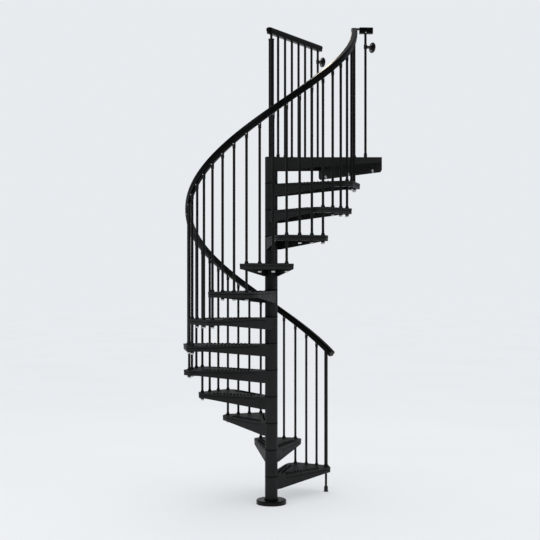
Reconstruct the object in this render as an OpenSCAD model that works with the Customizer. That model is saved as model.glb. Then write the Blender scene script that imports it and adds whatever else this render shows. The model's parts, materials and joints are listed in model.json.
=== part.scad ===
// Spiral staircase, a steel kit stair: hub tubes threaded on a centre pole, twelve pressed
// steel treads, a triangular landing, a helical handrail and its balusters.
// Millimetres. The origin is on the floor, at the centre of the base plate. Z is up.
// X runs along the landing's centreline, towards the wall that carries the landing.
// The stair climbs counter-clockwise, seen from above.

/* [Stair] */
// Height from one tread top to the next
rise = 214; // [190:1:260]
// Plan angle from one tread to the next
step_angle = 26; // [24:0.5:30]
// Plan angle from the last tread's centreline to the landing's centreline
landing_turn = 46; // [40:0.5:50]
// Distance from the stair's axis to the centreline of the balusters and the handrail
baluster_circle = 666; // [540:1:820]

/* [Centre column] */
// Outer diameter of the hub tubes
hub_d = 101.6; // [85:0.1:125]
// Wall of the hub tubes
hub_wall = 4; // [2.5:0.5:6]
// Thickness of the end plates that close each hub tube
hub_plate = 6; // [4:0.5:8]
// How far each hub tube stands above its tread
hub_proud = 4; // [1:0.5:10]
// Outer diameter of the pole inside the hub tubes
pole_d = 48.3; // [40:0.1:60]
// Wall of the pole
pole_wall = 4; // [2.5:0.5:6]
// Thickness of the spacer ring between two hub tubes
spacer_t = 4; // [2:0.5:8]
// How far a spacer ring lies inside the hub tubes' outer surface
spacer_recess = 1.8; // [0.5:0.1:4]

/* [Base] */
// Diameter of the base plate's cover
base_d = 242; // [200:1:300]
// Height of the base plate's cover
base_h = 34; // [20:1:45]
// Rounding of the base plate's upper edge
base_round = 8; // [2:0.5:12]
// Wall of the collar round the lowest hub tube
base_collar_wall = 7; // [4:0.5:14]
// Height of the collar round the lowest hub tube
base_collar_h = 10; // [5:1:20]

/* [Treads] */
// Sheet thickness of the treads and of the landing
sheet = 3; // [2:0.5:5]
// Distance from the baluster circle's end baluster line to the tread's outer edge
nose_margin = 30; // [24:1:45]
// How far the side corner lies behind the end baluster
side_corner_back = 19; // [10:1:30]
// How far the side corner lies outside the end baluster, sideways
side_corner_out = 53; // [40:1:65]
// Length of the nearly parallel side behind the side corner
shoulder_l = 75; // [40:1:110]
// How much farther out the side corner lies than the shoulder, sideways
shoulder_flare = 6; // [0:1:15]
// Depth of the side flanges at the hub
flange_hub_h = 98; // [80:1:130]
// Depth of the flange round the tread's outer end
flange_end_h = 43; // [30:1:52]
// Width of the lip turned in under the outer flange
lip_w = 46; // [34:1:55]
// Thickness of that lip
lip_t = 3; // [2:0.5:4]
// Depth of the top cover's turned-down edge
cover_h = 15; // [8:1:22]
// How far the top cover stands out from the flanges
cover_out = 1.5; // [1:0.5:3]
// Distance from the axis at which the top cover begins
cover_start = 112; // [95:1:160]

/* [Balusters] */
// Diameter of a baluster
baluster_d = 20; // [16:0.5:25]
// How far a baluster reaches below its tread's top
baluster_tail = 65; // [55:1:80]
// Diameter of the newel at the foot of the flight
start_newel_d = 30; // [26:0.5:36]
// Clearance round a baluster in its hole or socket
fit = 0.3; // [0.2:0.05:0.6]
// How far the foot of a collar reaches out from the baluster that it seats
collar_flare = 6; // [4:0.5:10]
// Height of the collars that seat the balusters on the treads
collar_h = 17; // [10:1:22]
// Wall of the collars and ferrules at their thin end
ferrule_wall = 2; // [1.5:0.1:2.5]
// Length of the ferrules under the handrail
ferrule_l = 39; // [30:1:50]
// Diameter of the foot under the newel
foot_d = 33; // [30:1:45]
// Diameter at the very bottom of that foot
foot_rim_d = 40; // [38:1:55]
// Height of that foot
foot_h = 44; // [30:1:60]

/* [Handrail] */
// Height of the handrail's top above a tread, at the tread's front baluster
rail_above = 1036; // [900:1:1100]
// Width of the handrail
rail_w = 50; // [42:1:60]
// Height of the handrail's section
rail_h = 50; // [42:1:60]
// Height of the handrail's lower, narrower tier
tier_h = 20; // [12:1:24]
// How far the lower tier lies inside the upper one, on each side
tier_in = 4; // [2:0.5:8]
// Rounding of the handrail's top edges
rail_round = 13; // [6:1:18]
// Plan angle by which the handrail overruns its first baluster
rail_lead = 6; // [4:0.5:7]
// Plan angle by which the handrail overruns its last baluster
rail_tail = 1.8; // [1.5:0.1:2.2]

/* [Landing] */
// Distance from the baluster circle to the wall that the landing is fixed to
wall_beyond = 75; // [60:1:120]
// How far the landing's front edge lies outside the flight's last baluster
front_edge_out = 17; // [15:1:30]
// How far the landing's far edge lies outside the last baluster of its balustrade
far_edge_out = 30; // [20:1:38]
// Depth of the landing's side flanges at the hub
landing_hub_h = 103; // [80:1:130]
// Depth of the landing's side flanges at the wall
landing_end_h = 41; // [30:1:60]
// Depth of the plate against the wall
wall_plate_h = 120; // [105:1:160]
// Thickness of the plate against the wall
wall_plate_t = 5; // [4:0.5:8]
// Corner cut at the bottom of the wall plate
wall_plate_cut = 18; // [8:1:30]
// Width of the open bolt slots in the wall plate
slot_w = 12; // [10:0.5:14]
// Height of those slots
slot_h = 33; // [20:1:45]
// Distance between the outer slots
slot_span = 680; // [500:5:760]

/* [Landing balustrade] */
// Plan angle of the landing's balustrade from the landing's centreline
guard_angle = 28.2; // [27.6:0.1:28.6]
// Height of the landing's handrail above the landing
guard_h = 1042; // [950:1:1100]
// Height of the short handrail on the stair's side above the landing
side_guard_h = 1053; // [1030:1:1075]
// Diameter of the newel on the stair's axis
top_newel_d = 44; // [38:0.5:47]
// Height of that newel's thick part above the landing
top_newel_h = 955; // [900:5:960]
// Height of the cap on that newel
newel_cap_h = 9; // [5:1:14]
// Number of balusters in the landing's balustrade
guard_count = 7; // [5:1:7]
// Distance from the baluster circle to the last baluster of the landing's balustrade
guard_last_beyond = 116; // [80:1:118]
// Distance from the axis to the first baluster of the landing's balustrade
guard_first_r = 107; // [90:1:120]
// How far the landing's handrail runs past the newel on the axis
guard_rail_lead = 30; // [0:1:45]
// Distance from the baluster circle to the far end of the landing's handrail
guard_rail_beyond = 160; // [140:1:160]
// Distance from the baluster circle to the single baluster on the stair's side
side_beyond = 95; // [80:1:110]
// Distance from the baluster circle to the inner end of the short handrail on that side
side_rail_gap = 46; // [40:1:60]
// Length of that short handrail
side_rail_l = 108; // [100:1:110]
// Wall of the sockets that hold the landing's balusters
socket_wall = 3.2; // [2:0.1:5]
// How far the flange at the foot of those sockets stands out
socket_flange = 4; // [2:0.5:7]
// Height of those sockets
socket_h = 37; // [25:1:50]

/* [Wall brackets] */
// Height of the wall brackets above the landing
bracket_above = 898; // [700:1:920]
// Wall of the ring round the baluster
bracket_ring_wall = 3.7; // [2.5:0.1:6]
// Height of that ring
bracket_ring_h = 34; // [20:1:40]
// Diameter of the bracket's arm
bracket_arm_d = 24; // [16:0.5:26]
// Diameter of the domed rose against the wall
rose_d = 85; // [76:1:100]
// Thickness of the rose
rose_t = 17; // [10:1:20]
// Distance between the rose's two screw holes
rose_hole_span = 48; // [40:1:56]
// Diameter of the rose's screw holes
rose_hole_d = 5.5; // [4:0.5:7]

/* [Hidden] */
$fn = 48;
tread_count = 12;
balusters_per_step = 3;
over = 1;            // overshoot of a cutting shape
rail_gap = 0.4;      // gap between a baluster or ferrule and the handrail above it
far = 2000;          // larger than any plan size
collar_lip = 3;      // height of the straight foot of a collar or socket
collar_waist = 9;    // height at which a collar has become slender
collar_waist_w = 2;  // how much wider than its top a collar is at its waist
pole_cap = 8;        // thickness of the plate that closes the pole's top
tangent_in = 5;      // how far a flange's outer face lies inside the hub's surface
rail_chamfer = 3;    // chamfer along the handrail's lower edges
ring_step = 2;       // plan angle between two rings of the handrail's sweep
arc_steps = 5;       // facets in a rounded corner of the handrail
rail_parts = 6;      // lengths that the helical handrail is made in
foot_socket = 34;    // how deep the newel stands in its foot
foot_flare_h = 8;    // height of the flare at the foot's bottom
neck_gap = 0.3;      // gap between the top newel's neck and the handrail
cap_over = 2;        // how far the top newel's cap overhangs
link_gap = 0.3;      // gap between the rail link and each rail end
link_in = 10;        // how far the rail link reaches inwards of the baluster circle
link_h = 12;         // height of the link between the two handrails
link_w = 30;         // width of that link
rose_rim = 5;        // thickness of the rose at its edge

black = [0.14, 0.14, 0.145];
rail_black = [0.10, 0.10, 0.10];
ring_black = [0.05, 0.05, 0.05];

hub_r = hub_d / 2;
baluster_r = baluster_d / 2;
landing_z = rise * (tread_count + 1);
last_baluster = tread_count * balusters_per_step;
baluster_step = step_angle / balusters_per_step;
hub_gap = hub_proud + spacer_t;
bore_d = baluster_d + 2 * fit;
ferrule_d = bore_d + 2 * ferrule_wall;
edge_off = hub_r - tangent_in;
guard_z = landing_z + guard_h;
side_guard_z = landing_z + side_guard_h;
base_collar_d = hub_d + 2 * fit + 2 * base_collar_wall;
socket_d = bore_d + 2 * socket_wall;
bracket_ring_d = bore_d + 2 * bracket_ring_wall;
wall_x = baluster_circle + wall_beyond;
guard_last_r = baluster_circle + guard_last_beyond;
side_r = baluster_circle + side_beyond;
side_rail_start = baluster_circle + side_rail_gap;

// Slope of the handrail along the baluster circle, in degrees
rail_slope = atan(rise / (baluster_circle * step_angle * PI / 180));
// Half of the handrail's height, measured straight up
rail_half_v = rail_h / 2 / cos(rail_slope);

// Plan angle of a tread's centreline; the landing's is zero
function tread_dir(n) = -landing_turn - step_angle * (tread_count - n);
// Plan angle of a baluster of the flight; number 0 is the start newel
function baluster_dir(i) = tread_dir(1) - step_angle / 2 + baluster_step * i;
// Height of the handrail's top, centreline and underside at a plan angle
function rail_top_z(a) = rise * (1 + (a - baluster_dir(0)) / step_angle) + rail_above;
function rail_mid_z(a) = rail_top_z(a) - rail_half_v;
function rail_under_z(a) = rail_top_z(a) - 2 * rail_half_v;
// Height at which a flat baluster top meets the sloping underside
function baluster_top_z(a) = rail_under_z(a) - baluster_r * tan(rail_slope) - rail_gap;
// Lowest point of a baluster: under the tread that it hangs on
function baluster_foot_z(i) = ceil(i / balusters_per_step) * rise - baluster_tail;
// Points of an arc, in the plane of a section or plan
function arc(cx, cy, r, from, to) =
    [for (k = [0:arc_steps])
        let (a = from + (to - from) * k / arc_steps) [cx + r * cos(a), cy + r * sin(a)]];
// Where a line from an outer corner meets the circle that all flanges are tangent to
function tangent_point(p, side) =
    let (a = atan2(p[1], p[0]) + side * acos(edge_off / norm(p)))
    [edge_off * cos(a), edge_off * sin(a)];
// Crossing of two lines, each given by a point and a direction
function crossing(p, d, q, e) =
    p + d * ((q - p)[0] * e[1] - (q - p)[1] * e[0]) / (d[0] * e[1] - d[1] * e[0]);
// A convex, counter-clockwise outline moved inwards by m
function inset(pts, m) =
    let (n = len(pts))
    [for (i = [0:n - 1])
        let (b = pts[i], d = b - pts[(i + n - 1) % n], e = pts[(i + 1) % n] - b)
        crossing(b + [-d[1], d[0]] * m / norm(d), d, b + [-e[1], e[0]] * m / norm(e), e)];

// Half outline of a tread: shoulder, side corner and nose corner
end_u = baluster_circle * cos(step_angle / 2);
end_v = baluster_circle * sin(step_angle / 2);
side_u = end_u - side_corner_back;
side_v = end_v + side_corner_out;
shoulder = [side_u - shoulder_l, side_v - shoulder_flare];
side_corner = [side_u, side_v];
nose_corner = [baluster_circle + nose_margin, end_v];
tread_outline = concat(
    [tangent_point([shoulder[0], -shoulder[1]], -1)],
    [[shoulder[0], -shoulder[1]], [side_corner[0], -side_corner[1]]],
    [[nose_corner[0], -nose_corner[1]], nose_corner, side_corner, shoulder],
    [tangent_point(shoulder, 1)]
);

landing_x = wall_x - wall_plate_t;
// Distance from the centreline to the corner of a landing edge, which touches the flanges'
// circle and passes at a distance outside a baluster at plan angle a and radius r
function landing_corner(a, r, outside) =
    let (edge_a = a - asin((edge_off - outside) / r))
    (edge_off + landing_x * sin(edge_a)) / cos(edge_a);
landing_near = landing_corner(-baluster_dir(last_baluster), baluster_circle, front_edge_out);
landing_far = landing_corner(guard_angle, guard_last_r, far_edge_out);
landing_outline = [
    tangent_point([landing_x, -landing_near], -1),
    [landing_x, -landing_near],
    [landing_x, landing_far],
    tangent_point([landing_x, landing_far], 1)
];

tier_w = rail_w - 2 * tier_in;
tier_y = tier_h - rail_h / 2;
rail_section = concat(
    [[-tier_w / 2 + rail_chamfer, -rail_h / 2], [tier_w / 2 - rail_chamfer, -rail_h / 2]],
    [[tier_w / 2, rail_chamfer - rail_h / 2], [tier_w / 2, tier_y], [rail_w / 2, tier_y]],
    arc(rail_w / 2 - rail_round, rail_h / 2 - rail_round, rail_round, 0, 90),
    arc(rail_round - rail_w / 2, rail_h / 2 - rail_round, rail_round, 90, 180),
    [[-rail_w / 2, tier_y], [-tier_w / 2, tier_y], [-tier_w / 2, rail_chamfer - rail_h / 2]]
);

// Places something at a plan angle, radius and height, its x axis pointing outwards
module at_polar(angle, radius, z) {
    rotate(angle) translate([radius, 0, z]) children();
}

// A plain tube standing on z = 0
module tube(outer, inner, height) {
    difference() {
        cylinder(d = outer, h = height);
        translate([0, 0, -over]) cylinder(d = inner, h = height + 2 * over);
    }
}

// Everything above the handrail's underside, in a baluster's own axes
module above_rail_underside(a) {
    translate([0, 0, rail_under_z(a) - rail_gap]) rotate([rail_slope, 0, 0])
        translate([-rail_h, -rail_h, 0]) cube([2 * rail_h, 2 * rail_h, 2 * rail_h]);
}

// ---- Base and column ----

module base_plate() {
    profile = concat(
        [[0, 0], [base_d / 2, 0]],
        arc(base_d / 2 - base_round, base_h - base_round, base_round, 0, 90),
        [[0, base_h]]
    );
    color(black) difference() {
        union() {
            rotate_extrude($fn = 96) polygon(profile);
            cylinder(d = base_collar_d, h = base_h + base_collar_h, $fn = 96);
        }
        translate([0, 0, base_h]) cylinder(d = hub_d + 2 * fit, h = base_collar_h + over, $fn = 96);
    }
}

module centre_pole() {
    height = landing_z + hub_proud - base_h;
    color(ring_black) translate([0, 0, base_h]) difference() {
        cylinder(d = pole_d, h = height);
        translate([0, 0, -over]) cylinder(d = pole_d - 2 * pole_wall, h = height - pole_cap + over);
    }
}

module hub_spacers() {
    color(ring_black) for (n = [1:tread_count]) translate([0, 0, n * rise + hub_proud])
        tube(hub_d - 2 * spacer_recess, pole_d + 2 * fit, spacer_t, $fn = 96);
}

// Hub tube with its end plates, from z = low to z = high
module hub(low, high) {
    difference() {
        translate([0, 0, low]) cylinder(d = hub_d, h = high - low, $fn = 96);
        translate([0, 0, low + hub_plate])
            cylinder(d = hub_d - 2 * hub_wall, h = high - low - 2 * hub_plate, $fn = 96);
        translate([0, 0, low - over]) cylinder(d = pole_d + 2 * fit, h = high - low + 2 * over);
    }
}

// ---- Treads and landing ----

// Cuts a tray's flanges to their depth: hub_h at the hub, end_h from x = flat_from outwards
module flange_taper(flat_from, hub_h, end_h) {
    rotate([90, 0, 0]) translate([0, 0, -far / 2]) linear_extrude(far) polygon([
        [hub_r, -hub_h], [flat_from, -end_h], [far, -end_h],
        [far, -far], [-far, -far], [-far, -hub_h]
    ]);
}

// Pressed tray with its top at z = 0, open below and cut away where the hub stands
module tray(outline, flat_from, hub_h, end_h) {
    difference() {
        translate([0, 0, -hub_h]) linear_extrude(hub_h) polygon(outline);
        translate([0, 0, -hub_h - over])
            linear_extrude(hub_h - sheet + over) polygon(inset(outline, sheet));
        flange_taper(flat_from, hub_h, end_h);
        translate([0, 0, -hub_h - over])
            cylinder(d = hub_d - hub_wall, h = hub_h + 2 * over, $fn = 96);
    }
}

// Flat part of an outline beyond x = from
module outline_beyond(outline, from) {
    difference() {
        polygon(outline);
        translate([from - far, -far / 2]) square(far);
    }
}

// One tread with its hub tube, its top at z = 0 and its centreline along x
module tread_body(hub_low) {
    frame = inset(tread_outline, cover_out);
    difference() {
        union() {
            hub(hub_low, hub_proud);
            tray(frame, shoulder[0], flange_hub_h, flange_end_h);
            translate([0, 0, -flange_end_h]) linear_extrude(lip_t) difference() {
                outline_beyond(frame, shoulder[0]);
                polygon(inset(frame, lip_w));
            }
            translate([0, 0, -cover_h]) linear_extrude(cover_h) difference() {
                outline_beyond(tread_outline, cover_start);
                polygon(inset(frame, sheet / 2));
            }
        }
        for (k = [0:balusters_per_step])
            at_polar(baluster_step * k - step_angle / 2, baluster_circle, -flange_hub_h)
                cylinder(d = bore_d, h = flange_hub_h + over);
    }
}

// Tread number n in place; the lowest hub tube reaches down to the base plate
module tread(n) {
    hub_low = n == 1 ? base_h - rise : hub_gap - rise;
    color(black) translate([0, 0, n * rise]) rotate(tread_dir(n)) tread_body(hub_low);
}

module landing_platform() {
    color(black) difference() {
        translate([0, 0, landing_z]) union() {
            hub(hub_gap - rise, hub_proud);
            tray(landing_outline, landing_x, landing_hub_h, landing_end_h);
        }
        at_polar(baluster_dir(last_baluster), baluster_circle, landing_z - landing_hub_h)
            cylinder(d = bore_d, h = landing_hub_h + over);
    }
}

module landing_wall_plate() {
    width = landing_near + landing_far;
    mid = (landing_far - landing_near) / 2;
    low = landing_z - wall_plate_h;
    color(black) difference() {
        translate([landing_x, mid, 0]) rotate([90, 0, 90]) linear_extrude(wall_plate_t) polygon([
            [-width / 2, landing_z], [-width / 2, low + wall_plate_cut],
            [wall_plate_cut - width / 2, low], [width / 2 - wall_plate_cut, low],
            [width / 2, low + wall_plate_cut], [width / 2, landing_z]
        ]);
        for (y = [-slot_span / 2, 0, slot_span / 2])
            translate([landing_x - over, mid + y - slot_w / 2, low - over])
                cube([wall_plate_t + 2 * over, slot_w, slot_h + over]);
    }
}

// ---- Balusters of the flight ----

module start_newel() {
    a = baluster_dir(0);
    low = foot_h - foot_socket;
    color(black) rotate(a) difference() {
        translate([baluster_circle, 0, 0]) union() {
            translate([0, 0, low]) cylinder(d = baluster_d, h = rise - low + over);
            translate([0, 0, rise]) cylinder(d = start_newel_d, h = rail_mid_z(a) - rise);
        }
        translate([baluster_circle, 0, 0]) above_rail_underside(a);
    }
}

module newel_foot() {
    color(black) at_polar(baluster_dir(0), baluster_circle, 0) difference() {
        rotate_extrude() polygon([
            [0, 0], [foot_rim_d / 2, 0], [foot_rim_d / 2, collar_lip],
            [foot_d / 2, foot_flare_h], [foot_d / 2, foot_h - over],
            [foot_d / 2 - over, foot_h], [0, foot_h]
        ]);
        translate([0, 0, foot_h - foot_socket]) cylinder(d = bore_d, h = foot_h);
    }
}

// The balusters that stand on treads first and first + 1
module balusters_of_steps(first) {
    low = (first - 1) * balusters_per_step + 1;
    color(black) for (i = [low:low + 2 * balusters_per_step - 1])
        at_polar(baluster_dir(i), baluster_circle, baluster_foot_z(i))
            cylinder(d = baluster_d, h = baluster_top_z(baluster_dir(i)) - baluster_foot_z(i));
}

// Bell-shaped collar round a rod, standing on z = 0
module collar(rod_d) {
    inner = rod_d / 2 + fit;
    foot_r = rod_d / 2 + collar_flare;
    rotate_extrude() polygon([
        [inner, 0], [foot_r, 0], [foot_r, collar_lip],
        [inner + ferrule_wall + collar_waist_w, collar_waist],
        [inner + ferrule_wall, collar_h], [inner, collar_h]
    ]);
}

module baluster_collars() {
    color(black) {
        at_polar(baluster_dir(0), baluster_circle, rise) collar(start_newel_d);
        for (n = [1:tread_count], k = [(n == 1 ? 1 : 0):balusters_per_step])
            at_polar(tread_dir(n) - step_angle / 2 + baluster_step * k, baluster_circle, n * rise)
                collar(baluster_d);
        at_polar(baluster_dir(last_baluster), baluster_circle, landing_z)
            collar(baluster_d);
    }
}

module rail_ferrules() {
    color(black) for (i = [1:last_baluster]) {
        a = baluster_dir(i);
        low = rail_under_z(a) - ferrule_l;
        rotate(a) translate([baluster_circle, 0, 0]) difference() {
            translate([0, 0, low]) cylinder(d = ferrule_d, h = 2 * ferrule_l);
            translate([0, 0, low - over])
                cylinder(d = bore_d, h = baluster_top_z(a) + fit - low + over);
            above_rail_underside(a);
        }
    }
}

// ---- Helical handrail ----

rail_from = baluster_dir(0) - rail_lead;
rail_to = baluster_dir(last_baluster) + rail_tail;
rail_part_angle = (rail_to - rail_from) / rail_parts;

// Point of the section p, swept to plan angle a, square to the rail's own slope
function rail_point(p, a) =
    let (r = baluster_circle + p[0], t = -p[1] * sin(rail_slope))
    [r * cos(a) - t * sin(a), r * sin(a) + t * cos(a), rail_mid_z(a) + p[1] * cos(rail_slope)];

// One length of the helical handrail
module handrail_part(part) {
    start = rail_from + (part - 1) * rail_part_angle;
    rings = ceil(rail_part_angle / ring_step);
    m = len(rail_section);
    points = [for (k = [0:rings], p = rail_section) rail_point(p, start + rail_part_angle * k / rings)];
    sides = [for (k = [0:rings - 1], j = [0:m - 1])
        let (a = k * m + j, b = k * m + (j + 1) % m) each [[a, a + m, b], [b, a + m, b + m]]];
    first_end = [[for (j = [0:m - 1]) j]];
    last_end = [[for (j = [0:m - 1]) rings * m + m - 1 - j]];
    color(rail_black) polyhedron(points, concat(sides, first_end, last_end));
}

// ---- Landing balustrade ----

guard_pitch = (guard_last_r - guard_first_r) / (guard_count - 1);
guard_under_z = guard_z - rail_h;

// A straight handrail along x, from x = start to x = end, its top at z = 0
module straight_rail(start, end) {
    translate([start, 0, -rail_h / 2]) rotate([90, 0, 90])
        linear_extrude(end - start) polygon(rail_section);
}

module landing_newel() {
    cap_z = landing_z + top_newel_h;
    base_z = landing_z + hub_proud;
    color(black) {
        translate([0, 0, base_z]) cylinder(d = top_newel_d, h = cap_z - base_z);
        translate([0, 0, cap_z - newel_cap_h])
            cylinder(d = top_newel_d + 2 * cap_over, h = newel_cap_h);
        translate([0, 0, cap_z]) cylinder(d = baluster_d, h = guard_under_z - neck_gap - cap_z);
    }
}

module landing_handrail() {
    color(rail_black) translate([0, 0, guard_z]) rotate(guard_angle) intersection() {
        straight_rail(-guard_rail_lead - rail_w, baluster_circle + guard_rail_beyond);
        translate([-guard_rail_lead, 0, -rail_h - over]) linear_extrude(rail_h + 2 * over) union() {
            circle(d = rail_w, $fn = 96);
            translate([0, -rail_w]) square([far, 2 * rail_w]);
        }
    }
}

// Plan place of baluster number k of the landing's balustrade
module guard_place(k) {
    at_polar(guard_angle, guard_first_r + k * guard_pitch, 0) children();
}

// A baluster between the landing's sheet and a handrail whose top is rail_top above the floor
module guard_baluster(rail_top) {
    translate([0, 0, landing_z]) cylinder(d = baluster_d, h = rail_top - rail_h - neck_gap - landing_z);
}

// Socket with a flange, standing on the landing
module guard_socket() {
    inner = bore_d / 2;
    translate([0, 0, landing_z]) rotate_extrude() polygon([
        [inner, 0], [socket_d / 2 + socket_flange, 0], [socket_d / 2 + socket_flange, collar_lip],
        [socket_d / 2, collar_lip + over], [socket_d / 2, socket_h], [inner, socket_h]
    ]);
}

module landing_balusters() {
    color(black) for (k = [0:guard_count - 1]) guard_place(k) guard_baluster(guard_z);
}

module side_baluster() {
    color(black) at_polar(-guard_angle, side_r, 0) guard_baluster(side_guard_z);
}

module landing_sockets() {
    color(black) {
        for (k = [0:guard_count - 1]) guard_place(k) guard_socket();
        at_polar(-guard_angle, side_r, 0) guard_socket();
    }
}

module side_handrail() {
    color(rail_black) translate([0, 0, side_guard_z]) rotate(-guard_angle)
        straight_rail(side_rail_start, side_rail_start + side_rail_l);
}

// Small bar that lies against the end of the helical handrail and carries the short one
module handrail_link() {
    low = side_guard_z - link_h - rail_round;
    lean = (low - rail_mid_z(rail_to)) * tan(rail_slope);
    turn = -guard_angle - rail_to;
    // The short handrail's end is not square to this bar: its far corner decides the bar's length
    reach = (side_rail_start - (link_w - lean) * sin(turn)) / cos(turn) - link_gap;
    color(black) rotate(rail_to) translate([baluster_circle - link_in, link_gap - lean, low])
        cube([reach - baluster_circle + link_in, link_w, link_h]);
}

// ---- Wall brackets ----

// Bracket from a baluster at plan point p to the wall
module wall_bracket(p) {
    z = landing_z + bracket_above;
    reach = wall_x - p[0];
    color(black) translate([p[0], p[1], z]) difference() {
        union() {
            translate([0, 0, -bracket_ring_h / 2]) cylinder(d = bracket_ring_d, h = bracket_ring_h);
            rotate([0, 90, 0]) cylinder(d = bracket_arm_d, h = reach - rose_rim);
            translate([reach, 0, 0]) rotate([0, -90, 0]) rotate_extrude($fn = 96) polygon([
                [0, 0], [rose_d / 2, 0], [rose_d / 2, rose_rim],
                [bracket_arm_d / 2 + rose_rim, rose_t], [0, rose_t]
            ]);
        }
        translate([0, 0, -bracket_ring_h]) cylinder(d = bore_d, h = 2 * bracket_ring_h);
        for (side = [-1, 1]) translate([reach + over, 0, side * rose_hole_span / 2])
            rotate([0, -90, 0]) cylinder(d = rose_hole_d, h = rose_t + 2 * over);
    }
}

function plan_point(angle, radius) = [radius * cos(angle), radius * sin(angle)];

base_plate();
centre_pole();
hub_spacers();
tread(1);  // tread_01
tread(2);  // tread_02
tread(3);  // tread_03
tread(4);  // tread_04
tread(5);  // tread_05
tread(6);  // tread_06
tread(7);  // tread_07
tread(8);  // tread_08
tread(9);  // tread_09
tread(10);  // tread_10
tread(11);  // tread_11
tread(12);  // tread_12
landing_platform();
landing_wall_plate();
start_newel();
newel_foot();
balusters_of_steps(1);  // balusters_steps_1_2
balusters_of_steps(3);  // balusters_steps_3_4
balusters_of_steps(5);  // balusters_steps_5_6
balusters_of_steps(7);  // balusters_steps_7_8
balusters_of_steps(9);  // balusters_steps_9_10
balusters_of_steps(11);  // balusters_steps_11_12
baluster_collars();
rail_ferrules();
handrail_part(1);  // handrail_part_1
handrail_part(2);  // handrail_part_2
handrail_part(3);  // handrail_part_3
handrail_part(4);  // handrail_part_4
handrail_part(5);  // handrail_part_5
handrail_part(6);  // handrail_part_6
landing_newel();
landing_handrail();
landing_balusters();
landing_sockets();
side_handrail();
side_baluster();
handrail_link();
wall_bracket(plan_point(guard_angle, guard_last_r));  // wall_bracket_far
wall_bracket(plan_point(-guard_angle, side_r));  // wall_bracket_near
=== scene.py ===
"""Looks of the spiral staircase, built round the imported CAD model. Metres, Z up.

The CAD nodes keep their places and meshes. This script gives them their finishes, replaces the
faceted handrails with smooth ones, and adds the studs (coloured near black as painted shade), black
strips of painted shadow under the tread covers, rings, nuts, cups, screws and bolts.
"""
import json
import math

import bmesh
import bpy
from mathutils import Matrix, Vector


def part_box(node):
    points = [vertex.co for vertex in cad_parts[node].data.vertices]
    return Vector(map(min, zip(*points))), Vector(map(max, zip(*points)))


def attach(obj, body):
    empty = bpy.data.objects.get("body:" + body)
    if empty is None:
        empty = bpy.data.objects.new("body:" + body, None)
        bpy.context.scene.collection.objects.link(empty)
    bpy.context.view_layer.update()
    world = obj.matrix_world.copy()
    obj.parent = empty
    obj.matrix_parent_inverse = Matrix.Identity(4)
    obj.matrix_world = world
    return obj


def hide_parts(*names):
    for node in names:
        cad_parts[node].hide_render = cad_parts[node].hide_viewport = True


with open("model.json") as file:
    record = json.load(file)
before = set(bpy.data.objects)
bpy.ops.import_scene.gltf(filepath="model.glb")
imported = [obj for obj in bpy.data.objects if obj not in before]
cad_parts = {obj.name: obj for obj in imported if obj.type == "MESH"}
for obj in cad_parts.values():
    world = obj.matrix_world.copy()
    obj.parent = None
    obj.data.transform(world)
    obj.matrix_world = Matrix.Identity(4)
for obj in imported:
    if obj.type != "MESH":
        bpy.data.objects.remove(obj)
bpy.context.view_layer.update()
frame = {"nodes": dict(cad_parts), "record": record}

MM = 0.001
UP = Vector((0, 0, 1))

# ---- Sizes shared with the CAD model, in millimetres unless they are angles ----
TREAD_COUNT = 12
BALUSTERS_PER_STEP = 3
HUB_PROUD = 4
HUB_D = 101.6
RAIL_W, RAIL_H = 50, 50
TIER_H, TIER_IN = 20, 4
CORNER_EASE = 1
RAIL_ROUND, RAIL_CHAMFER = 13, 3
RAIL_LEAD, RAIL_TAIL = math.radians(6), math.radians(1.8)
GUARD_ANGLE = math.radians(28.2)
FLANGE_END_H = 43
WALL_PLATE_SLOTS = (-340, 0, 340)
ROSE_HOLES = (-24, 24)

# ---- Sizes of the pieces that only the visual model has, in millimetres ----
STUD_ROWS = (((176, 46), (523, 161), 0.0), ((194, 15), (534, 128), 0.5))
STUD_PITCH = 31
STUD_PROFILE = ((8.2, -0.3), (7.6, 3.4), (6.6, 4.8), (5.6, 5.0), (4.7, 4.4), (4.1, 0.6), (0.0, 0.6))
NUT_FLATS, NUT_H, NUT_DROP = 24, 11, 1
FOOT_PROFILE = ((9, -0.3), (15.5, -0.3), (15.5, 2.2), (13.4, 4.6), (11.4, 9.6), (9, 10.4))
NEWEL_FOOT_SCALE = 1.3
CUP_PROFILE = ((10.2, 0), (15, 0), (15, 2), (13.6, 10.5), (12.2, 11.5), (10.2, 11.5))
SCREW_HEAD_R, SCREW_HEAD_H = 5.2, 2.8
RAIL_SCREW_UP, FERRULE_SCREW_DOWN, FERRULE_SCREW_SINK = 7.5, 5.5, 1.2
BOLT_FLATS, BOLT_H, BOLT_SHANK_R, WASHER_R, WASHER_T = 17, 7, 4, 13, 2
WALL_BOLT_UP = 21
ROSE_FACE_IN, ROSE_SCREW_R, ROSE_SCREW_H = 12.8, 4.8, 2.4
ROSE_SCREW_OUT, ROSE_SCREW_LEAN = 0.92, 0.39
END_CAP_T = 2.5
SHADOW_LINE_H, SHADOW_LINE_IN, TIER_ROUND = 1.6, 1.2, 1.2
RAIL_STEPS = 330
JOINT_RING_H, JOINT_RING_OUT = 9, 0.8
# The strip under each tread cover is painted shadow: a black strip standing in for the shadow line
# under the cover's edge.
SHADOW_STRIP_H, SHADOW_STRIP_IN, SHADOW_STRIP_LAP = 5.0, 1.0, 0.3
COVER_H = 15

# ---- Shader sockets and samples ----
MIX_A, MIX_B, MIX_RESULT = 6, 7, 2
BEVEL_SAMPLES = 4

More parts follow.
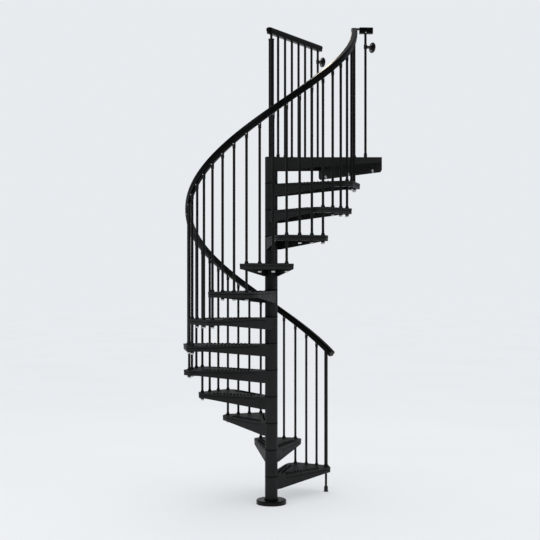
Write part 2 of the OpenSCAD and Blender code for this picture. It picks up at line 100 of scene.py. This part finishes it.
# ---- Light, floor and camera, in metres, watts and degrees ----
ROOM_LIGHT = 1.0
ROOM_COLOUR = (0.80, 0.83, 0.86, 1)
FLOOR_TONE = 0.47
GLOSS_DARK_SIDE, GLOSS_BRIGHT_SIDE = 0.12, 0.55
BRIGHT_SIDE = (0.512, 0.859, 0.0)
RIM_LIGHT_AT = (1.5, 3.6, 6.6)
RIM_COLOUR, RIM_SIZE, RIM_WATTS = (1.0, 0.90, 0.72), (0.9, 0.9), 26
STAIR_MIDDLE = (0, 0, 1.6)
LAMPS = (
    ("key", (-4.5, -3.0, 4.8), (3.0, 3.0), 40),
    ("fill", (3.5, -5.0, 3.0), (2.5, 3.5), 4),
    ("top", (0.0, 0.5, 6.0), (4.0, 4.0), 18),
)
FADE_FROM, FADE_TO = -0.35, 0.95
FLOOR_REACH = 40
CAMERA_AT = (-4.518, -7.559, 1.878)
CAMERA_BEARING = 59.202
LENS_MM, SENSOR_MM = 72.97, 36


# ---- Places read from the frame ----

def node_solids(node):
    """Lowest and highest corners of each separate solid in a CAD node."""
    mesh = frame["nodes"][node].data
    parent = {}

    def key(index):
        return tuple(round(c, 5) for c in mesh.vertices[index].co)

    def root(item):
        while parent.setdefault(item, item) != item:
            item = parent[item]
        return item

    for face in mesh.polygons:
        first = root(key(face.vertices[0]))
        for index in face.vertices[1:]:
            parent[root(key(index))] = first
            first = root(first)
    solids = {}
    for item in parent:
        solids.setdefault(root(item), []).append(Vector(item))
    boxes = []
    for points in solids.values():
        low = Vector([min(p[k] for p in points) for k in range(3)])
        high = Vector([max(p[k] for p in points) for k in range(3)])
        boxes.append((low, high))
    return boxes


def centre_of(node):
    low, high = (Vector(c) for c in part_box(node))
    return (low + high) / 2


def plan_angle(point):
    return math.atan2(point.y, point.x)


tread_tops = [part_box(f"tread_{n:02d}")[1][2] - HUB_PROUD * MM
              for n in range(1, TREAD_COUNT + 1)]
rise = tread_tops[1] - tread_tops[0]
newel = centre_of("start_newel")
circle = math.hypot(newel.x, newel.y)
first_angle = plan_angle(newel)
flight_balusters = []
for first in range(1, TREAD_COUNT, 2):
    flight_balusters += node_solids(f"balusters_steps_{first}_{first + 1}")
flight_balusters.sort(key=lambda box: box[1].z)
baluster_step = (plan_angle(sum(flight_balusters[0], Vector()) / 2) - first_angle) % math.tau
step_angle = baluster_step * BALUSTERS_PER_STEP
last_angle = first_angle + step_angle * TREAD_COUNT
rail_slope = math.atan(rise / (circle * step_angle))
rail_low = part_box("handrail_part_1")[0][2] + RAIL_H * MM / 2 * math.cos(rail_slope)
rail_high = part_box("handrail_part_6")[1][2] - RAIL_H * MM / 2 * math.cos(rail_slope)
rail_from, rail_to = first_angle - RAIL_LEAD, last_angle + RAIL_TAIL


def rail_angle(point):
    """Plan angle of a point under the handrail, counted on from the first baluster."""
    turned = (plan_angle(point) - first_angle) % math.tau
    climbed = (point.z - rail_low) / (rail_high - rail_low) * (rail_to - rail_from)
    return first_angle + turned + math.tau * round((climbed - turned) / math.tau)


def rail_mid_z(angle):
    return rail_low + (rail_high - rail_low) * (angle - rail_from) / (rail_to - rail_from)


# ---- Materials ----

class Shader:
    """A node material with a few helpers that make and link nodes."""

    def __init__(self, name):
        self.material = bpy.data.materials.new(name)
        self.material.use_nodes = True
        self.tree = self.material.node_tree
        self.surface = self.tree.nodes["Principled BSDF"]
        self.place = self.node("ShaderNodeTexCoord").outputs["Object"]

    def node(self, kind, **settings):
        item = self.tree.nodes.new(kind)
        for name, value in settings.items():
            setattr(item, name, value)
        return item

    def feed(self, socket, value):
        if isinstance(value, bpy.types.NodeSocket):
            self.tree.links.new(value, socket)
        else:
            socket.default_value = value

    def noise(self, scale, detail=3.0, roughness=0.5, stretch=None):
        place = self.place
        if stretch:
            mapping = self.node("ShaderNodeMapping")
            self.feed(mapping.inputs["Vector"], place)
            mapping.inputs["Scale"].default_value = stretch
            place = mapping.outputs["Vector"]
        item = self.node("ShaderNodeTexNoise")
        self.feed(item.inputs["Vector"], place)
        item.inputs["Scale"].default_value = scale
        item.inputs["Detail"].default_value = detail
        item.inputs["Roughness"].default_value = roughness
        return item.outputs["Fac"]

    def scale_to(self, value, low, high, from_low=0.3, from_high=0.7):
        item = self.node("ShaderNodeMapRange")
        self.feed(item.inputs["Value"], value)
        for socket, number in (("From Min", from_low), ("From Max", from_high),
                               ("To Min", low), ("To Max", high)):
            item.inputs[socket].default_value = number
        return item.outputs["Result"]

    def math(self, operation, a, b):
        item = self.node("ShaderNodeMath", operation=operation)
        self.feed(item.inputs[0], a)
        self.feed(item.inputs[1], b)
        return item.outputs["Value"]

    def mix(self, factor, a, b):
        item = self.node("ShaderNodeMix", data_type="RGBA")
        self.feed(item.inputs["Factor"], factor)
        self.feed(item.inputs[MIX_A], a)
        self.feed(item.inputs[MIX_B], b)
        return item.outputs[MIX_RESULT]

    def edges(self, radius):
        """1 near the mesh's edges and 0 on its flat parts."""
        bevel = self.node("ShaderNodeBevel", samples=BEVEL_SAMPLES)
        bevel.inputs["Radius"].default_value = radius
        geometry = self.node("ShaderNodeNewGeometry")
        dot = self.node("ShaderNodeVectorMath", operation="DOT_PRODUCT")
        self.feed(dot.inputs[0], bevel.outputs["Normal"])
        self.feed(dot.inputs[1], geometry.outputs["Normal"])
        return self.scale_to(dot.outputs["Value"], 1.0, 0.0, 0.80, 0.995)

    def facing_up(self):
        geometry = self.node("ShaderNodeNewGeometry")
        split = self.node("ShaderNodeSeparateXYZ")
        self.feed(split.inputs[0], geometry.outputs["Normal"])
        return self.scale_to(split.outputs["Z"], 0.0, 1.0, 0.5, 1.0)

    def bump(self, *layers, edge_radius=None):
        """Adds bump from (height, distance in metres, strength) layers, over softened edges."""
        normal = None
        if edge_radius:
            bevel = self.node("ShaderNodeBevel", samples=BEVEL_SAMPLES)
            bevel.inputs["Radius"].default_value = edge_radius
            normal = bevel.outputs["Normal"]
        for height, distance, strength in layers:
            item = self.node("ShaderNodeBump")
            self.feed(item.inputs["Height"], height)
            item.inputs["Distance"].default_value = distance
            item.inputs["Strength"].default_value = strength
            if normal:
                self.feed(item.inputs["Normal"], normal)
            normal = item.outputs["Normal"]
        self.feed(self.surface.inputs["Normal"], normal)


def grey(value, blue=1.0):
    return (value, value, value * blue, 1.0)


def powder_coat(name, dark, light, worn, rough, grain, specular, dust):
    """Fine-textured powder coat: fine grain, soft tone changes, worn edges and a little dust."""
    shader = Shader(name)
    cloud = shader.scale_to(shader.noise(5.0, 4.0, 0.6), 0.0, 1.0)
    tone = shader.mix(cloud, grey(dark), grey(light))
    speck = shader.scale_to(shader.noise(420.0, 2.0), 0.0, 0.35, 0.55, 0.75)
    tone = shader.mix(speck, tone, grey(light * 1.6))
    wear = shader.math("MULTIPLY", shader.edges(1.6 * MM),
                       shader.scale_to(shader.noise(38.0, 4.0), 0.0, 0.8, 0.42, 0.66))
    tone = shader.mix(wear, tone, grey(worn))
    film = shader.math("MULTIPLY", shader.facing_up(),
                       shader.scale_to(shader.noise(11.0, 5.0, 0.65), 0.0, dust, 0.4, 0.7))
    tone = shader.mix(film, tone, grey(worn * 1.2))
    shader.feed(shader.surface.inputs["Base Color"], tone)
    polish = shader.scale_to(shader.noise(16.0, 4.0, 0.6), rough - 0.07, rough + 0.09)
    shader.feed(shader.surface.inputs["Roughness"],
                shader.math("SUBTRACT", polish, shader.math("MULTIPLY", wear, 0.12)))
    shader.surface.inputs["Specular IOR Level"].default_value = specular
    shader.bump((shader.noise(grain, 2.0), 0.25 * MM, 0.35),
                (shader.noise(26.0, 2.0), 0.8 * MM, 0.08), edge_radius=1.2 * MM)
    return shader.material


def moulded_plastic(name, dark, light, rough, specular=0.3, grain=900.0):
    """Moulded plastic: near black, a faint mould grain, hazy rubbed patches and softened edges."""
    shader = Shader(name)
    cloud = shader.scale_to(shader.noise(14.0, 4.0, 0.6), 0.0, 1.0)
    tone = shader.mix(cloud, grey(dark), grey(light, 1.05))
    rub = shader.math("MULTIPLY", shader.edges(1.2 * MM),
                      shader.scale_to(shader.noise(60.0, 3.0), 0.0, 0.5, 0.45, 0.7))
    shader.feed(shader.surface.inputs["Base Color"], shader.mix(rub, tone, grey(light * 2.2)))
    haze = shader.scale_to(shader.noise(22.0, 5.0, 0.65), rough - 0.06, rough + 0.10)
    shader.feed(shader.surface.inputs["Roughness"], haze)
    shader.surface.inputs["Specular IOR Level"].default_value = specular
    shader.bump((shader.noise(grain, 2.0), 0.12 * MM, 0.25), edge_radius=0.8 * MM)
    return shader.material


def handrail_finish(name, dark, light, rubbed, specular):
    """Soft black handrail: drawn lengthwise, hand-rubbed on top, with a low satin sheen."""
    shader = Shader(name)
    cloud = shader.scale_to(shader.noise(9.0, 5.0, 0.6), 0.0, 1.0)
    tone = shader.mix(cloud, grey(dark), grey(light, 1.08))
    rub = shader.math("MULTIPLY", shader.facing_up(),
                      shader.scale_to(shader.noise(30.0, 4.0, 0.6), 0.0, 0.4, 0.45, 0.7))
    shader.feed(shader.surface.inputs["Base Color"], shader.mix(rub, tone, grey(rubbed, 1.06)))
    satin = shader.scale_to(shader.noise(18.0, 4.0, 0.6), 0.17, 0.25)
    shader.feed(shader.surface.inputs["Roughness"], satin)
    shader.surface.inputs["Specular IOR Level"].default_value = specular
    shader.bump((shader.noise(520.0, 2.0), 0.15 * MM, 0.2),
                (shader.noise(40.0, 2.0), 0.5 * MM, 0.06))
    return shader.material


def zinc_plate(name):
    """Bright zinc plating with a passivation tint, fine scratches and dull spots."""
    shader = Shader(name)
    cloud = shader.scale_to(shader.noise(120.0, 4.0, 0.6), 0.0, 1.0)
    tone = shader.mix(cloud, (0.58, 0.59, 0.61, 1.0), (0.74, 0.73, 0.70, 1.0))
    spots = shader.scale_to(shader.noise(600.0, 2.0), 0.0, 0.5, 0.60, 0.72)
    shader.feed(shader.surface.inputs["Base Color"], shader.mix(spots, tone, grey(0.30)))
    scratches = shader.noise(500.0, 2.0, 0.5, (1.0, 1.0, 0.06))
    shader.feed(shader.surface.inputs["Roughness"], shader.scale_to(scratches, 0.22, 0.42))
    shader.surface.inputs["Metallic"].default_value = 0.35
    shader.bump((scratches, 0.08 * MM, 0.3), edge_radius=0.5 * MM)
    return shader.material


FINISH = {
    "steel": powder_coat("powder_coat_steel", dark=0.0142, light=0.0195, worn=0.038,
                         rough=0.50, grain=700.0, specular=0.08, dust=0.04),
    "baluster_steel": powder_coat("powder_coat_balusters", dark=0.0018, light=0.0032, worn=0.014,
                                  rough=0.30, grain=900.0, specular=0.25, dust=0.04),
    "handrail": handrail_finish("handrail_black", dark=0.0014, light=0.0028, rubbed=0.010,
                                specular=0.09),
    "plastic_trim": moulded_plastic("black_plastic", dark=0.003, light=0.006, rough=0.42),
    "bracket_steel": moulded_plastic("gloss_black", dark=0.003, light=0.005, rough=0.20,
                                     specular=0.5, grain=500.0),
    "zinc_fixings": zinc_plate("bright_zinc"),
}
BASE_COVER = moulded_plastic("base_cover", dark=0.002, light=0.004, rough=0.24,
                             specular=0.16, grain=600.0)
# Black finish for the hub's joint rings and for the strips under the tread covers, which are
# painted shadow.
SEAL_AND_PAINTED_SHADOW = moulded_plastic("black_seal_and_painted_shadow", dark=0.0015, light=0.003, rough=0.75, specular=0.1)
# The studs' near-black finish, far darker than the tread's powder coat, is painted shade that makes
# them show as dark dots.
STUD_PAINTED_SHADE_FINISH = moulded_plastic("stud_black_painted_shade", dark=0.0015, light=0.003, rough=0.60, specular=0.1)


# ---- Mesh helpers ----

def add_piece(name, mesh, slot, replaces=(), sharp_above=35, finish=None):
    """Turns a bmesh into a piece that stands still with the stair, in its slot's finish."""
    bmesh.ops.recalc_face_normals(mesh, faces=mesh.faces)
    data = bpy.data.meshes.new(name)
    mesh.to_mesh(data)
    mesh.free()
    data.polygons.foreach_set("use_smooth", [True] * len(data.polygons))
    data.set_sharp_from_angle(angle=math.radians(sharp_above))
    data.materials.append(finish or FINISH[slot])
    piece = bpy.data.objects.new(name, data)
    bpy.context.scene.collection.objects.link(piece)
    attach(piece, "root")
    if replaces:
        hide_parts(*replaces)
    return piece


def join_rings(mesh, ring, following):
    """Bridges two rings of as many corners with four-sided faces."""
    count = len(ring)
    for k in range(count):
        mesh.faces.new((ring[k], ring[(k + 1) % count], following[(k + 1) % count], following[k]))


def add_sweep(mesh, section, stations):
    """Skins a closed section along stations of (origin, across, upward), with flat ends."""
    rings = [[mesh.verts.new(origin + across * x + upward * y) for x, y in section]
             for origin, across, upward in stations]
    for ring, following in zip(rings, rings[1:]):
        join_rings(mesh, ring, following)
    mesh.faces.new(rings[0])
    mesh.faces.new(reversed(rings[-1]))


def add_turning(mesh, profile, place, sides=24):
    """Turns a (radius, height) profile in millimetres round the place's z axis."""
    rings = []
    for radius, height in profile:
        if radius == 0:
            rings.append([mesh.verts.new(place @ Vector((0, 0, height * MM)))])
            continue
        turns = [math.tau * k / sides for k in range(sides)]
        rings.append([mesh.verts.new(place @ Vector((radius * MM * math.cos(a),
                                                     radius * MM * math.sin(a), height * MM)))
                      for a in turns])
    for ring, following in zip(rings, rings[1:]):
        for k in range(sides):
            corners = [ring[k % len(ring)], ring[(k + 1) % len(ring)],
                       following[(k + 1) % len(following)], following[k % len(following)]]
            mesh.faces.new(list(dict.fromkeys(corners)))


def at(origin, axis=UP, spin=0.0):
    """A placement whose z axis points along axis."""
    turn = axis.to_track_quat("Z", "Y").to_matrix().to_4x4()
    return Matrix.Translation(origin) @ turn @ Matrix.Rotation(spin, 4, "Z")


def hexagon_ring(mesh, place, corner, height):
    """Six vertices at a corner radius and a height in millimetres."""
    corners = [Vector((corner * math.cos(a), corner * math.sin(a), height)) * MM
               for a in (math.radians(60 * k) for k in range(6))]
    return [mesh.verts.new(place @ point) for point in corners]


def add_hexagon(mesh, flats, height, place, bore=0.0):
    """Hexagon with chamfered corners, from z = 0 to z = height, with a shallow dished top."""
    corner = flats / 2 / math.cos(math.radians(30))
    levels = ((0.93, 0), (1, 0.09), (1, 0.88), (0.93, 1))
    rings = [hexagon_ring(mesh, place, corner * s, height * t) for s, t in levels]
    for ring, following in zip(rings, rings[1:]):
        join_rings(mesh, ring, following)
    mesh.faces.new(list(reversed(rings[0])))
    mesh.faces.new(rings[-1])
    if bore:
        rim = ((bore + 2.4, height), (bore + 1.6, height + 0.7),
               (bore, height + 0.7), (0, height + 0.4))
        add_turning(mesh, rim, place)


def add_screw(mesh, place, radius=SCREW_HEAD_R, height=SCREW_HEAD_H):
    """Domed screw head with a hexagon socket."""
    crown = radius * 0.56
    dome = ((radius, 0), (radius, height * 0.35), (radius * 0.86, height * 0.8), (crown, height))
    add_turning(mesh, dome, place)
    socket = 0.5 * radius
    outer = hexagon_ring(mesh, place, crown, height)
    inner = hexagon_ring(mesh, place, socket, height)
    floor = hexagon_ring(mesh, place, socket, height * 0.3)
    join_rings(mesh, outer, inner)
    join_rings(mesh, inner, floor)
    mesh.faces.new(floor)


def arc(cx, cy, radius, start, end, steps):
    return [(cx + radius * math.cos(a), cy + radius * math.sin(a))
            for a in (math.radians(start + (end - start) * k / steps) for k in range(steps + 1))]


# ---- Handrails ----

def rail_section():
    """The handrail's two-tier section in metres, with softened corners and a shadow line."""
    half, foot = RAIL_W / 2, RAIL_W / 2 - TIER_IN
    bottom, step_y, top = -RAIL_H / 2, TIER_H - RAIL_H / 2, RAIL_H / 2
    side = [(foot - RAIL_CHAMFER, bottom), (foot - CORNER_EASE, bottom + CORNER_EASE),
            (foot, bottom + RAIL_CHAMFER)]
    side += [(foot, step_y - SHADOW_LINE_H), (foot - SHADOW_LINE_IN, step_y - SHADOW_LINE_IN),
             (foot - SHADOW_LINE_IN, step_y)]
    side += arc(half - TIER_ROUND, step_y + TIER_ROUND, TIER_ROUND, -90, 0, 3)
    side += arc(half - RAIL_ROUND, top - RAIL_ROUND, RAIL_ROUND, 0, 90, 8)
    return [(x * MM, y * MM) for x, y in side] + [(-x * MM, y * MM) for x, y in reversed(side)]


def helix_station(angle):
    """Origin, across and upward directions of the helical handrail's section at a plan angle."""
    out = Vector((math.cos(angle), math.sin(angle), 0))
    along = Vector((-math.sin(angle), math.cos(angle), 0))
    upward = UP * math.cos(rail_slope) - along * math.sin(rail_slope)
    return out * circle + UP * rail_mid_z(angle), out, upward


def helical_handrail():
    mesh = bmesh.new()
    cap = END_CAP_T * MM / circle
    first, last = rail_from + cap, rail_to - cap
    add_sweep(mesh, rail_section(), [helix_station(first + (last - first) * k / RAIL_STEPS)
                                     for k in range(RAIL_STEPS + 1)])
    parts = [f"handrail_part_{k}" for k in range(1, 7)]
    add_piece("helical_handrail", mesh, "handrail", parts)
    caps = bmesh.new()
    lip = [(x * 0.985, y * 0.985) for x, y in rail_section()]
    for end, inside in ((rail_from, first), (rail_to, last)):
        mid = (end + 3 * inside) / 4
        shoulder = end + (inside - end) * 0.2
        add_sweep(caps, rail_section(), [helix_station(mid), helix_station(shoulder)])
        add_sweep(caps, lip, [helix_station(shoulder), helix_station(end)])
    add_piece("helical_handrail_end_caps", caps, "plastic_trim")


def rail_start(node, out):
    """How far along a direction a node's mesh begins."""
    return min(v.co.dot(out) for v in frame["nodes"][node].data.vertices)


def straight_handrail(name, node, angle, rounded_start):
    """A level handrail along a plan angle, with a softly rounded start where it ends free."""
    low, high = (Vector(c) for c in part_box(node))
    out = Vector((math.cos(angle), math.sin(angle), 0))
    across = Vector((math.sin(angle), -math.cos(angle), 0))
    mid_z = (low.z + high.z) / 2
    half = RAIL_W * MM / 2
    reach = (high.x - half * abs(math.sin(angle))) / math.cos(angle)
    start = rail_start(node, out)
    mesh = bmesh.new()
    begin = start + (half if rounded_start else END_CAP_T * MM)
    if rounded_start:
        half_section = [(x / MM, y / MM) for x, y in rail_section() if x > 0]
        half_section = [(0, half_section[0][1])] + half_section + [(0, half_section[-1][1])]
        add_turning(mesh, half_section, Matrix.Translation(out * begin + UP * mid_z), 72)

    def station(distance):
        return out * distance + UP * mid_z, across, UP

    cap = END_CAP_T * MM
    add_sweep(mesh, rail_section(), [station(begin + (reach - cap - begin) * k / 8)
                                     for k in range(9)])
    add_piece(name, mesh, "handrail", [node])
    caps = bmesh.new()
    lip = [(x * 0.97, y * 0.97) for x, y in rail_section()]
    ends = [(reach - cap, reach)] + ([] if rounded_start else [(start + cap, start)])
    for inside, end in ends:
        near = inside + (end - inside) * 0.15
        add_sweep(caps, rail_section(), [station(near + (end - near) * t) for t in (0, 0.7)])
        add_sweep(caps, lip, [station(near + (end - near) * t) for t in (0.7, 1)])
    add_piece(name + "_end_caps", caps, "plastic_trim")


def rail_screws():
    """Screws on both sides of each ferrule, and of the side handrail above its baluster."""
    mesh = bmesh.new()
    side = (RAIL_W / 2 - TIER_IN) * MM
    under = RAIL_H * MM / 2 / math.cos(rail_slope)
    for low, high in node_solids("rail_ferrules"):
        radius = (high.x - low.x) / 2 - FERRULE_SCREW_SINK * MM
        origin, out, _ = helix_station(rail_angle((low + high) / 2))
        spot = origin - UP * (under + FERRULE_SCREW_DOWN * MM)
        add_screw(mesh, at(spot + out * radius, out))
        add_screw(mesh, at(spot - out * radius, -out))
    across = Vector((math.sin(GUARD_ANGLE), math.cos(GUARD_ANGLE), 0))
    for low, high in node_solids("side_baluster"):
        place = (low + high) / 2
        place.z = high.z + RAIL_SCREW_UP * MM
        add_screw(mesh, at(place + across * side, across))
        add_screw(mesh, at(place - across * side, -across))
    add_piece("handrail_screws", mesh, "zinc_fixings")


# ---- Treads and fixings ----

def tread_frame(number):
    """Placement of a tread: origin on its top at the axis, x along its centreline."""
    angle = first_angle + step_angle * (number - 0.5)
    return Matrix.Translation((0, 0, tread_tops[number - 1])) @ Matrix.Rotation(angle, 4, "Z")


def tread_studs(number):
    """Two staggered rows of raised, pierced studs along each side of a tread, coloured near black
    as painted shade.
    """
    mesh = bmesh.new()
    place = tread_frame(number)
    for start, end, shift in STUD_ROWS:
        a, b = Vector(start), Vector(end)
        count = int((b - a).length / STUD_PITCH)
        for k in range(count + 1):
            spot = a + (b - a).normalized() * STUD_PITCH * (k + shift)
            for side in (-1, 1):
                stud = Matrix.Translation((spot.x * MM, side * spot.y * MM, 0))
                add_turning(mesh, STUD_PROFILE, place @ stud, 16)
    # Near-black stud finish: painted shade.
    add_piece(f"tread_studs_{number:02d}", mesh, "steel", finish=STUD_PAINTED_SHADE_FINISH)


def hub_joint_rings():
    """Black rings that close the joints between the hub tubes."""
    mesh = bmesh.new()
    half, inner, outer = JOINT_RING_H / 2, HUB_D / 2 - 1, HUB_D / 2 + JOINT_RING_OUT
    profile = ((inner, -half), (outer - 0.4, -half), (outer, 1 - half),
               (outer, half - 1), (outer - 0.4, half), (inner, half))
    for low, high in node_solids("hub_spacers"):
        add_turning(mesh, profile, Matrix.Translation((0, 0, (low.z + high.z) / 2)), 96)
    add_piece("hub_joint_rings", mesh, "plastic_trim", finish=SEAL_AND_PAINTED_SHADOW)


def cover_outline(number):
    """Corners of a tread's top cover along its lower edge, counter-clockwise from its hub end."""
    level = tread_tops[number - 1] - COVER_H * MM
    vertices = frame["nodes"][f"tread_{number:02d}"].data.vertices
    points = {(round(v.co.x, 5), round(v.co.y, 5)) for v in vertices
              if abs(v.co.z - level) < 0.1 * MM}
    hull = [Vector((*corner, 0)) for corner in convex_hull(points)]
    inner = min(range(len(hull)), key=lambda k: (hull[k] + hull[k - 1]).length)
    return hull[inner:] + hull[:inner]


def convex_hull(points):
    """Corners of the convex hull of plan points, counter-clockwise."""
    def half(ordered):
        line = []
        for p in ordered:
            while len(line) > 1 and cross(line[-2], line[-1], p) <= 1e-9:
                line.pop()
            line.append(p)
        return line[:-1]

    def cross(a, b, c):
        return (b[0] - a[0]) * (c[1] - a[1]) - (b[1] - a[1]) * (c[0] - a[0])

    ordered = sorted(points)
    return half(ordered) + half(ordered[::-1])


def cover_painted_shadow_strip(number):
    """A black strip under a tread cover's turned-down edge, as painted shadow: it stands in for the
    shadow line under the cover's edge.
    """
    mesh = bmesh.new()
    outline = cover_outline(number)
    top = tread_tops[number - 1] - COVER_H * MM
    sides = []
    for k, corner in enumerate(outline):
        before = corner - outline[k - 1] if k else outline[1] - corner
        after = outline[k + 1] - corner if k + 1 < len(outline) else before
        inward = (Vector((-before.y, before.x, 0)).normalized()
                  + Vector((-after.y, after.x, 0)).normalized())
        inward *= SHADOW_STRIP_IN * MM / (inward.length_squared / 2)
        upper, lower = top + SHADOW_STRIP_LAP * MM, top - SHADOW_STRIP_H * MM
        sides.append([mesh.verts.new(corner + inward + UP * z) for z in (upper, lower)]
                     + [mesh.verts.new(corner + inward * 2 + UP * z) for z in (lower, upper)])
    for near, away in zip(sides, sides[1:]):
        join_rings(mesh, near, away)
    mesh.faces.new(sides[0])
    mesh.faces.new(reversed(sides[-1]))
    add_piece(f"tread_cover_painted_shadow_strip_{number:02d}", mesh, "plastic_trim", finish=SEAL_AND_PAINTED_SHADOW)


def baluster_fixings():
    """A bright nut on each baluster's tail, with a black cup under the tread and one on top."""
    nuts, cups = bmesh.new(), bmesh.new()
    newel_foot = Matrix.Translation((newel.x, newel.y, tread_tops[0]))
    add_turning(cups, [(r * NEWEL_FOOT_SCALE, z) for r, z in FOOT_PROFILE], newel_foot, 32)
    for k, (low, high) in enumerate(flight_balusters):
        tread_top = tread_tops[min(k // BALUSTERS_PER_STEP, TREAD_COUNT - 1)]
        centre = (low + high) / 2
        nut_low = Vector((centre.x, centre.y, low.z - NUT_DROP * MM))
        add_hexagon(nuts, NUT_FLATS, NUT_H, at(nut_low, spin=k * 0.7))
        cup_low = Vector((centre.x, centre.y, tread_top - (FLANGE_END_H + CUP_PROFILE[-1][1]) * MM))
        add_turning(cups, CUP_PROFILE, at(cup_low))
        add_turning(cups, FOOT_PROFILE, at(Vector((centre.x, centre.y, tread_top))))
    add_piece("baluster_nuts", nuts, "zinc_fixings", sharp_above=25)
    add_piece("baluster_nut_cups", cups, "plastic_trim")


def wall_bolts():
    """Bolts in the open slots of the landing's wall plate."""
    mesh = bmesh.new()
    low, high = (Vector(c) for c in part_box("landing_wall_plate"))
    for shift in WALL_PLATE_SLOTS:
        spot = Vector((low.x, (low.y + high.y) / 2 + shift * MM, low.z + WALL_BOLT_UP * MM))
        away = Vector((-1, 0, 0))
        washer = ((0, 0), (WASHER_R, 0), (WASHER_R, WASHER_T), (0, WASHER_T))
        add_turning(mesh, washer, at(spot, away))
        head = at(spot + away * WASHER_T * MM, away, spin=shift)
        add_hexagon(mesh, BOLT_FLATS, BOLT_H, head, bore=BOLT_SHANK_R)
    add_piece("landing_wall_bolts", mesh, "zinc_fixings", sharp_above=25)


def rose_screws():
    """Two screws in each wall rose."""
    mesh = bmesh.new()
    for node in ("wall_bracket_far", "wall_bracket_near"):
        low, high = (Vector(c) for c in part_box(node))
        rose_y = rose_centre(node)
        for shift in ROSE_HOLES:
            spot = Vector((high.x - ROSE_FACE_IN * MM, rose_y, (low.z + high.z) / 2 + shift * MM))
            lean = ROSE_SCREW_LEAN * (1 if shift > 0 else -1)
            place = at(spot, Vector((-ROSE_SCREW_OUT, 0, lean)))
            add_screw(mesh, place, ROSE_SCREW_R, ROSE_SCREW_H)
    add_piece("rose_screws", mesh, "zinc_fixings")


def rose_centre(node):
    """Middle, along y, of the part of a bracket that lies against the wall."""
    data = frame["nodes"][node].data
    wall = max(v.co.x for v in data.vertices)
    ys = [v.co.y for v in data.vertices if v.co.x > wall - 1 * MM]
    return (min(ys) + max(ys)) / 2


# ---- Build ----

for row in frame["record"]["subparts"]:
    material = BASE_COVER if row["node"] == "base_plate" else FINISH[row["material_slot"]]
    data = frame["nodes"][row["node"]].data
    data.materials.clear()
    data.materials.append(material)

helical_handrail()
straight_handrail("landing_handrail_smooth", "landing_handrail", GUARD_ANGLE, True)
straight_handrail("side_handrail_smooth", "side_handrail", -GUARD_ANGLE, False)
rail_screws()
for tread_number in range(1, TREAD_COUNT + 1):
    tread_studs(tread_number)
    # Each tread gets a black strip of painted shadow under its cover.
    cover_painted_shadow_strip(tread_number)
hub_joint_rings()
baluster_fixings()
wall_bolts()
rose_screws()


# ---- Floor, light and camera ----

def pale_floor():
    mesh = bmesh.new()
    bmesh.ops.create_grid(mesh, x_segments=8, y_segments=8, size=FLOOR_REACH)
    data = bpy.data.meshes.new("floor")
    mesh.to_mesh(data)
    mesh.free()
    shader = Shader("pale_floor")
    cloud = shader.scale_to(shader.noise(0.6, 3.0), 0.0, 1.0)
    tone = shader.mix(cloud, grey(FLOOR_TONE - 0.01), grey(FLOOR_TONE + 0.01))
    shader.feed(shader.surface.inputs["Base Color"], tone)
    shader.surface.inputs["Emission Color"].default_value = ROOM_COLOUR
    shader.surface.inputs["Emission Strength"].default_value = 1 - FLOOR_TONE
    shader.surface.inputs["Specular IOR Level"].default_value = 0.0
    matt = shader.scale_to(shader.noise(3.0, 3.0), 0.55, 0.7)
    shader.feed(shader.surface.inputs["Roughness"], matt)
    data.materials.append(shader.material)
    floor = bpy.data.objects.new("floor", data)
    bpy.context.scene.collection.objects.link(floor)


def soft_light(name, place, target, size, watts, colour=(1.0, 1.0, 1.0)):
    lamp = bpy.data.lights.new(name, "AREA")
    lamp.color = colour
    lamp.shape = "RECTANGLE"
    lamp.size, lamp.size_y = size
    lamp.energy = watts
    item = bpy.data.objects.new(name, lamp)
    item.location = place
    item.rotation_euler = (Vector(target) - Vector(place)).to_track_quat("-Z", "Y").to_euler()
    bpy.context.scene.collection.objects.link(item)


def studio():
    world = bpy.data.worlds.new("studio")
    world.use_nodes = True
    nodes, links = world.node_tree.nodes, world.node_tree.links
    background = nodes["Background"]
    place, toward = nodes.new("ShaderNodeTexCoord"), nodes.new("ShaderNodeVectorMath")
    toward.operation = "DOT_PRODUCT"
    links.new(place.outputs["Generated"], toward.inputs[0])
    toward.inputs[1].default_value = BRIGHT_SIDE
    fade = nodes.new("ShaderNodeMapRange")
    fade.interpolation_type = "SMOOTHSTEP"
    for socket, number in (("From Min", FADE_FROM), ("From Max", FADE_TO),
                           ("To Min", GLOSS_DARK_SIDE), ("To Max", GLOSS_BRIGHT_SIDE)):
        fade.inputs[socket].default_value = number
    links.new(toward.outputs["Value"], fade.inputs["Value"])
    rays, pick = nodes.new("ShaderNodeLightPath"), nodes.new("ShaderNodeMapRange")
    links.new(rays.outputs["Is Glossy Ray"], pick.inputs["Value"])
    pick.inputs["To Min"].default_value = ROOM_LIGHT
    links.new(fade.outputs["Result"], pick.inputs["To Max"])
    links.new(pick.outputs["Result"], background.inputs["Strength"])
    background.inputs["Color"].default_value = ROOM_COLOUR
    bpy.context.scene.world = world
    for name, spot, size, watts in LAMPS:
        soft_light(name, spot, STAIR_MIDDLE, size, watts)
    rail_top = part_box("handrail_part_6")[1]
    soft_light("rim", RIM_LIGHT_AT, rail_top, RIM_SIZE, RIM_WATTS, RIM_COLOUR)


def camera():
    item = bpy.data.objects.new("camera", bpy.data.cameras.new("camera"))
    item.data.sensor_width = SENSOR_MM
    item.data.lens = LENS_MM
    item.location = CAMERA_AT
    item.rotation_euler = (math.radians(90), 0, math.radians(CAMERA_BEARING - 90))
    bpy.context.scene.collection.objects.link(item)
    bpy.context.scene.camera = item


pale_floor()
studio()
camera()
bpy.context.scene.view_settings.view_transform = "Standard"
